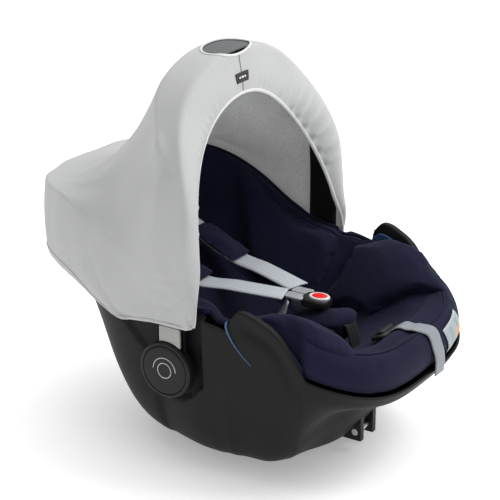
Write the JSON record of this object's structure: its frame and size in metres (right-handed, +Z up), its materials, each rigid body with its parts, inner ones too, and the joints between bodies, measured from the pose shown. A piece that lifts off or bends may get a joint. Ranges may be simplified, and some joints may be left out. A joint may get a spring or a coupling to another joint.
{
  "type": "infant car seat",
  "caption": "Rear-facing infant car seat: rocker-based shell with belt guides, padded cover, five-point style harness, swinging carry handle and a stretch sun hood.",
  "frame": {"origin": "middle of the seat's box, on the floor under its base", "axes": "+X to the occupant's left, +Y towards the head end, +Z up; the occupant faces -Y"},
  "size_m": [0.426, 0.6157, 0.5596],
  "materials": {
    "shell": "fine texture",
    "hub": "fine texture",
    "grip": "soft matt",
    "button": "satin",
    "blue": "satin",
    "rubber": "matt",
    "steel": "plated",
    "foam": "expanded bead foam",
    "navy": "knitted polyester",
    "navy_dark": "knitted polyester",
    "webbing": "woven webbing",
    "silver": "woven webbing",
    "hood": "stretch jersey",
    "tag": "woven label",
    "label": "printed label",
    "red": "gloss",
    "white": "satin",
    "buckle": "satin"
  },
  "bodies": {
    "seat": {"shell": "shell", "foam_liner": "foam", "front_lock_bar": "steel", "rear_lock_bar": "steel", "adjuster_housing": "buckle", "adjuster_strap": "silver", "label_patch": "label", "seat_cover": "navy", "headrest_pad": "navy", "seat_inlay": "navy_dark", "sun_hood": "hood", "crotch_pad": "navy", "crotch_strap": "webbing", "buckle_housing": "buckle", "buckle_ring": "white", "foot_strip_right": "rubber", "pivot_pin_right": "steel", "detent_ring_right": "steel", "belt_guide_lining_right": "blue", "front_lock_ear_right": "hub", "rear_lock_ear_right": "hub", "thigh_bolster_right": "navy", "side_bolster_right": "navy", "shoulder_strap_right": "webbing", "shoulder_pad_right": "navy", "tongue_right": "steel", "lap_strap_right": "webbing", "foot_strip_left": "rubber", "pivot_pin_left": "steel", "detent_ring_left": "steel", "belt_guide_lining_left": "blue", "front_lock_ear_left": "hub", "rear_lock_ear_left": "hub", "thigh_bolster_left": "navy", "side_bolster_left": "navy", "shoulder_strap_left": "webbing", "shoulder_pad_left": "navy", "tongue_left": "steel", "lap_strap_left": "webbing"},
    "handle": {"handle_arch": "shell", "handle_grip": "grip", "hood_tag": "tag", "handle_hub_right": "hub", "hub_cap_right": "hub", "handle_hub_left": "hub", "hub_cap_left": "hub"},
    "release_button_right": {"release_button_right": "button"},
    "release_button_left": {"release_button_left": "button"},
    "buckle_button": {"buckle_button": "red"},
    "adjuster_button": {"adjuster_button": "buckle"}
  },
  "joints": [
    {"name": "handle_pivot", "type": "hinge", "parent": "seat", "child": "handle", "pos_m": [0, -0.00275, 0.152], "axis": [-1, 0, 0], "range_deg": [0, 90], "deforming": ["sun_hood"]},
    {"name": "release_press_right", "type": "slide", "parent": "handle", "child": "release_button_right", "axis": [1, 0, 0], "range_m": [0, 0.004], "stiffness_N_per_m": 600},
    {"name": "release_press_left", "type": "slide", "parent": "handle", "child": "release_button_left", "axis": [-1, 0, 0], "range_m": [0, 0.004], "stiffness_N_per_m": 600},
    {"name": "buckle_press", "type": "slide", "parent": "seat", "child": "buckle_button", "axis": [0, 0, -1], "range_m": [0, 0.004], "stiffness_N_per_m": 900},
    {"name": "adjuster_press", "type": "slide", "parent": "seat", "child": "adjuster_button", "axis": [0, -0.444, -0.8961], "range_m": [0, 0.0025], "stiffness_N_per_m": 700}
  ]
}
